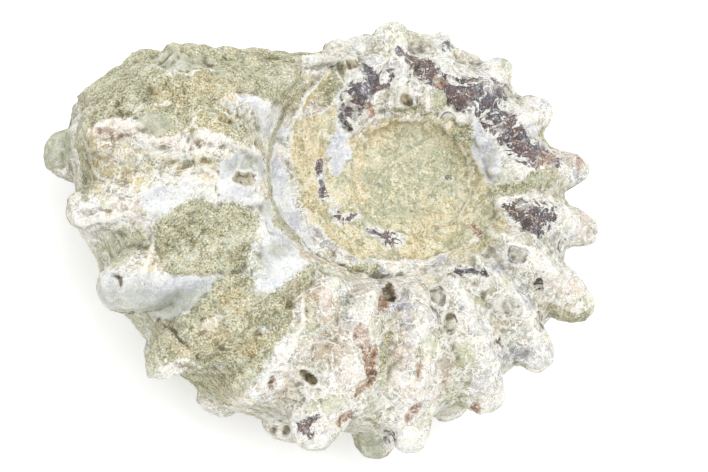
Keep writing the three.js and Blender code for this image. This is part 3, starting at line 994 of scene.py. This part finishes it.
swirl = {"Vector": place, "Scale": MM / PLATE_SWIRL_SIZE, "Detail": 5.0, "Roughness": 0.62}
off_place = {0: put("ShaderNodeTexNoise", swirl).outputs["Color"], 1: (PLATE_SWIRL,) * 3, 2: place}
off_place = put("ShaderNodeVectorMath", off_place, operation="MULTIPLY_ADD").outputs[0]
plates = {"Vector": off_place, "Scale": MM / PLATE_SIZE}
plate_hues = {0: put("ShaderNodeTexVoronoi", plates).outputs["Color"]}
plate_tone, plate_warmth, plate_age = put("ShaderNodeSeparateColor", plate_hues).outputs
plate_edge = put("ShaderNodeTexVoronoi", plates, feature="DISTANCE_TO_EDGE").outputs["Distance"]
# A painted shadow line runs just inside each plate's pale edge.
plate_shadow_line = ramp(calc("ABSOLUTE", calc("SUBTRACT", plate_edge, 0.08)), 0.04, 0.01)
ochre = ramp(calc("MULTIPLY_ADD", fine, 0.5, times(ragged, 0.5)), 0.48, 0.42)
shell = coated(
    mixed(ramp(shades, 0.4, 0.56), paint(206, 204, 188), paint(251, 250, 247)),
    (ramp(blots, 0.52, 0.6, 0.0, 0.45), paint(208, 208, 178)),
    (ramp(cloud(3.0, 6.0, 0.66, 0.8, 2.9), 0.57, 0.64, 0.0, 0.5), paint(226, 208, 190)),
    (ramp(cloud(3.4, 6.0, 0.66, 0.8, 3.3), 0.53, 0.6, 0.0, 0.65), paint(198, 201, 212)),
    (ramp(plate_warmth, 0.55, 0.75, 0.0, 0.4), paint(224, 206, 190)),
    (ramp(plate_age, 0.6, 0.8, 0.0, 0.4), paint(204, 204, 176)),
    (ramp(plate_tone, 0.3, 0.0, 0.0, 0.45), paint(190, 192, 202)),
    (ramp(plate_tone, 0.7, 0.9, 0.0, 0.6), paint(253, 252, 249)),
    (stain(olive_in, 0.65), paint(198, 200, 158)),
    (stain(warm_in, 0.8, shades), paint(228, 210, 154)),
    (times(ochre, ramp(warm_in, -6, 6, 0.06, 0.9)), paint(182, 154, 100)),
    (stain(pink_in, 0.62, blots), paint(214, 189, 173)),
    (stain(lavender_in, 0.7, ragged), paint(184, 186, 200)),
    (ramp(wavering(lavender_in, 30.0, shades), 4, 8, 0.0, 0.55), paint(146, 146, 168)),
    (line(veins, 0.47, 0.016, 0.6), paint(146, 138, 110)),
    (line(flaky, 0.44, 0.022, 0.5), paint(160, 154, 132)),
    (ramp(flaky, 0.55, 0.58, 0.0, 0.8), paint(253, 252, 248)),
    (line(veins, 0.55, 0.014, 0.8), paint(254, 253, 250)),
    (times(plate_shadow_line, ramp(shades, 0.56, 0.46, 0.0, 0.65)), paint(134, 126, 108)),
    (ramp(plate_edge, 0.05, 0.02, 0.0, 0.85), paint(254, 253, 250)),
)

# Yellow sediment, greyer and greener in the middle of the disc, its dark grains gathered in places.
streaks = cloud(3.2, 7.0, 0.7, 1.2, 5.3)
tan_colour = coated(
    mixed(ramp(streaks, 0.41, 0.57), paint(180, 174, 140), paint(238, 229, 200)),
    (ramp(disc_in, 0, 24, 0.1, 0.55), paint(180, 184, 158)),
    (ramp(tints, 0.5, 0.58, 0.0, 0.5), paint(224, 202, 146)),
    (ramp(blots, 0.46, 0.4, 0.0, 0.45), paint(172, 182, 164)),
    (stain(olive_in, 0.65), paint(180, 186, 158)),
    (stain(warm_in, 0.55, shades), paint(236, 216, 176)),
    (ramp(ragged, 0.46, 0.38, 0.0, 0.75), paint(146, 141, 108)),
    (ramp(shades, 0.55, 0.63, 0.0, 0.7), paint(244, 236, 206)),
    (times(ramp(sand, 0.46, 0.36, 0.0, 0.8), ramp(tints, 0.44, 0.56, 0.3, 1.0)), paint(120, 114, 88)),
    (line(streaks, 0.46, 0.012, 0.5), paint(150, 142, 104)),
    (ramp(fine, 0.54, 0.62, 0.0, 0.65), paint(250, 246, 230)),
    (line(streaks, 0.52, 0.012, 0.6), paint(252, 244, 220)),
)

# Smooth inner shell, white with lavender and blue shadows.
nacre_share = patch(nacre_in, 26.0)
nacre_colour = coated(
    mixed(ramp(cloud(4.0, 5.0, 0.62, 0.4, 3.7), 0.42, 0.58), paint(243, 244, 245), paint(212, 215, 220)),
    (stain(lavender_in, 0.65, ragged), paint(186, 187, 201)),
    (ramp(wavering(lavender_in, 34.0, shades), 5, 9, 0.0, 0.45), paint(158, 158, 176)),
    (ramp(tints, 0.5, 0.6, 0.0, 0.5), paint(216, 217, 200)),
    (line(veins, 0.5, 0.01, 0.4), paint(184, 182, 174)),
    (ramp(flaky, 0.56, 0.59, 0.0, 0.6), paint(252, 252, 250)),
    (ramp(plate_edge, 0.045, 0.015, 0.0, 0.45), paint(254, 254, 252)),
    (ramp(plate_tone, 0.35, 0.0, 0.0, 0.35), paint(190, 193, 206)),
    (stain(olive_in, 0.6, shades), paint(192, 196, 180)),
)

# Dark shell, purple-black to red-brown, with white flakes left on it and a white broken edge.
islands = cloud(2.6, 5.0, 0.6, 1.4, 6.1)
flakes = ramp(calc("MULTIPLY_ADD", dark_in, -0.009, islands), 0.485, 0.5)
flakes = calc("MAXIMUM", flakes, ramp(flaky, 0.575, 0.59))
dark_share = patch(dark_in, 22.0, 0.5, islands, 1.2)
edge_share = calc("SUBTRACT", patch(dark_in, 22.0, 0.5, islands, 2.8), dark_share)
dark_colour = coated(
    mixed(ramp(tints, 0.42, 0.58), paint(62, 56, 68), paint(100, 97, 112)),
    (ramp(blots, 0.46, 0.52, 0.0, 0.85), paint(106, 76, 68)),
    (ramp(sand, 0.5, 0.66, 0.0, 0.35), paint(160, 156, 160)),
    (flakes, mixed(ramp(fine, 0.42, 0.58), paint(206, 204, 200), paint(248, 247, 242))),
    (line(islands, 0.43, 0.008, 0.8), paint(240, 239, 234)),
    (line(flaky, 0.47, 0.006, 0.4), paint(200, 198, 198)),
)

# Sandstone: olive-grey sand, lumpy and cracked, with pale and dark grains and smears of finer stone.
crusts = cloud(4.6, 7.0, 0.68, 1.4, 9.1)
smear_colour = mixed(ramp(flaky, 0.42, 0.58), paint(186, 189, 164), paint(226, 226, 208))
stone_share = patch(stone_in, 16.0)
stone_colour = coated(
    mixed(ramp(shades, 0.4, 0.58), paint(154, 156, 126), paint(216, 216, 190)),
    (ramp(blots, 0.5, 0.6, 0.0, 0.45), paint(206, 202, 166)),
    (stain(olive_in, 0.5), paint(180, 186, 156)),
    (stain(warm_in, 0.5, ragged), paint(218, 198, 148)),
    (times(ochre, ramp(warm_in, -6, 6, 0.1, 0.7)), paint(186, 146, 88)),
    (stain(pink_in, 0.5), paint(206, 188, 174)),
    (ramp(crusts, 0.46, 0.41, 0.0, 0.55), paint(142, 142, 110)),
    (line(crusts, 0.5, 0.016, 0.4), paint(198, 172, 120)),
    (ramp(ragged, 0.44, 0.37, 0.0, 0.45), paint(130, 126, 92)),
    (ramp(flaky, 0.55, 0.62, 0.0, 0.6), paint(236, 232, 208)),
    (ramp(sand, 0.45, 0.36, 0.0, 0.8), paint(92, 88, 62)),
    (ramp(sand, 0.55, 0.63, 0.0, 0.75), paint(244, 241, 226)),
    (ramp(grain[0], 0.86, 0.93, 0.0, 0.5), paint(118, 108, 80)),
    (ramp(big_grain[0], 0.93, 0.97, 0.0, 0.25), paint(206, 182, 138)),
    (line(veins, 0.44, 0.014, 0.6), paint(104, 100, 72)),
    (ramp(crusts, 0.545, 0.575, 0.0, 0.62), smear_colour),
)
smooth_stone_colour = mixed(ramp(ragged, 0.4, 0.6), paint(176, 179, 156), paint(214, 216, 200))

# Iron-stained patches, and the worn tips of the tubercles, some with a dark ring and heart.
rust_colour = coated(
    mixed(ramp(shades, 0.4, 0.6), paint(136, 101, 84), paint(188, 158, 136)),
    (ramp(flaky, 0.52, 0.55, 0.0, 0.85), paint(236, 230, 220)),
    (ramp(sand, 0.44, 0.34, 0.0, 0.7), paint(92, 64, 54)),
    (ramp(fine, 0.54, 0.6, 0.0, 0.6), paint(204, 176, 140)),
)
worn_colour = mixed(ramp(shades, 0.42, 0.54), paint(108, 92, 78), paint(196, 186, 160))
off_sediment = ramp(tan_in, -2, 3, 1.0, 0.15)
heart_colour = mixed(ramp(shades, 0.42, 0.5), paint(128, 124, 112), paint(216, 214, 198))
ring_share = ramp(calc("ABSOLUTE", calc("ADD", ringed_in, -1.2)), 1.3, 0.5, 0.0, 0.85)

# All of it laid over the shell. Broken edges show white, cracks and hollows pinkish-brown.
crest_share = ramp(wavering(crest_in, 10.0, shades), -2.0, -0.8, 0.0, 0.85)
groove_share = ramp(wavering(groove_in, 9.0, ragged), -2.6, -0.6, 0.0, 0.5)
colour = coated(
    shell,
    (patch(tan_in, 12.0), tan_colour),
    (nacre_share, nacre_colour),
    (times(edge_share, ramp(tan_in, -2, 3, 0.85, 0.4)), paint(250, 249, 243)),
    (dark_share, dark_colour),
    (stone_share, stone_colour),
    (times(patch(far_in, 8.0), 0.85), smooth_stone_colour),
    (crest_share, mixed(ramp(fine, 0.4, 0.6), paint(226, 216, 202), paint(253, 251, 246))),
    (groove_share, mixed(ramp(shades, 0.42, 0.58), paint(140, 130, 108), paint(204, 188, 172))),
    (patch(rust_in, 14.0, 0.6, more=0.6), rust_colour),
    (patch(worn_in, 7.0, 0.7), worn_colour),
    (times(ramp(ringed_in, -4, -1, 0.0, 0.5), off_sediment), paint(248, 247, 242)),
    (times(ramp(ringed_in, 1, 4, 0.0, 0.6), off_sediment), heart_colour),
    (times(ring_share, ramp(shades, 0.44, 0.5)), paint(98, 92, 94)),
)

# Painted shade in the hollows, between the ribs and on the steep sides facing the front left, painted shade
# on some outer spines, paler rib crests and worn edges, specks, and a faint drift of hue all over.
rib_edge = wavering(rib_in, 1.6, shades)
rib_share = ramp(stone_share, 0, 1, 1.0, 0.25)
open_ground = times(calc("SUBTRACT", 1.0, times(patch(tan_in, 2.0, 3.0), 0.7)), 0.7)
spine_shade = ramp(shaded_spines_in, -4, 8)
hues = cloud(0.9, 6.0, 0.75, 0.6, 7.7)
colour = coated(
    colour,
    # Painted shade between the ribs, and paler rib crests.
    (times(ramp(rib_edge, -0.05, -0.45), rib_share), (0.84, 0.85, 0.8, 1), "MULTIPLY"),
    (times(ramp(rib_edge, 0.1, 0.5, 0.0, 0.2), rib_share), paint(252, 251, 247)),
    # Painted shade in the hollows, closely and broadly, off the sediment.
    (times(ramp(close_in, -0.015, -0.16), open_ground), paint(140, 132, 106), "MULTIPLY"),
    (times(ramp(broad_in, -0.1, -0.9), open_ground), paint(176, 173, 154), "MULTIPLY"),
    # Painted shade on the steep sides facing the front left.
    (ramp(shade_side_in, 0.1, 0.9, 0.0, 0.42), paint(176, 172, 148), "MULTIPLY"),
    (times(ramp(close_in, 0.03, 0.14, 0.0, 0.38), ramp(stone_share, 0, 1, 1.0, 0.3)), paint(252, 251, 245)),
    (ramp(fine, 0.39, 0.32, 0.0, 0.65), paint(122, 115, 94)),
    (ramp(sand, 0.36, 0.6, 1.0, 0.0), (0.82, 0.82, 0.81, 1), "MULTIPLY"),
    # Painted shade on some outer spines and the blunt spine.
    (spine_shade, (0.92, 0.92, 0.93, 1), "MULTIPLY"),
    (times(spine_shade, ramp(shades, 0.5, 0.42, 0.0, 0.6)), paint(224, 222, 208), "MULTIPLY"),
    (times(ramp(hues, 0.5, 0.6), ramp(nacre_share, 0, 1, 1.0, 0.3)), (1.0, 0.97, 0.87, 1), "MULTIPLY"),
    (ramp(hues, 0.48, 0.4), (0.94, 0.975, 1.0, 1), "MULTIPLY"),
    (ramp(cloud(1.5, 6.0, 0.7, 0.8, 8.3), 0.56, 0.64), (1.0, 0.95, 0.92, 1), "MULTIPLY"),
)
tree.links.new(colour, shader.inputs["Base Color"])

# Stone is dull and the inner and dark shell has a faint shine.
SHELL_ROUGHNESS = 0.66
NACRE_ROUGHNESS = 0.42
STONE_ROUGHNESS = 0.92
DARK_ROUGHNESS = 0.36
SHINE = 0.4
BUMP_STRENGTH = 0.8
BUMP_DEPTH = 0.0004

dullness = coated(
    put("ShaderNodeCombineColor", {0: ramp(nacre_share, 0, 1, SHELL_ROUGHNESS, NACRE_ROUGHNESS)}).outputs[0],
    (stone_share, (STONE_ROUGHNESS, 0, 0, 1)),
    (dark_share, (DARK_ROUGHNESS, 0, 0, 1)),
)
tree.links.new(put("ShaderNodeSeparateColor", {0: dullness}).outputs[0], shader.inputs["Roughness"])
shader.inputs["Specular IOR Level"].default_value = SHINE

grit_height = times(grains(0.42, output="Distance"), ramp(stone_share, 0, 1, 0.1, 0.5))
rough_height = calc("MULTIPLY_ADD", ragged, 0.7, times(fine, 0.35))
flake_height = times(flakes, times(dark_share, 0.35))
plate_height = times(plate_tone, ramp(stone_share, 0, 1, 0.3, 0.05))
height = calc("ADD", calc("ADD", grit_height, rough_height), calc("ADD", flake_height, plate_height))
bump = put("ShaderNodeBump", {"Height": height, "Strength": BUMP_STRENGTH, "Distance": BUMP_DEPTH})
tree.links.new(bump.outputs["Normal"], shader.inputs["Normal"])

body.materials.clear()
body.materials.append(fossil_material)
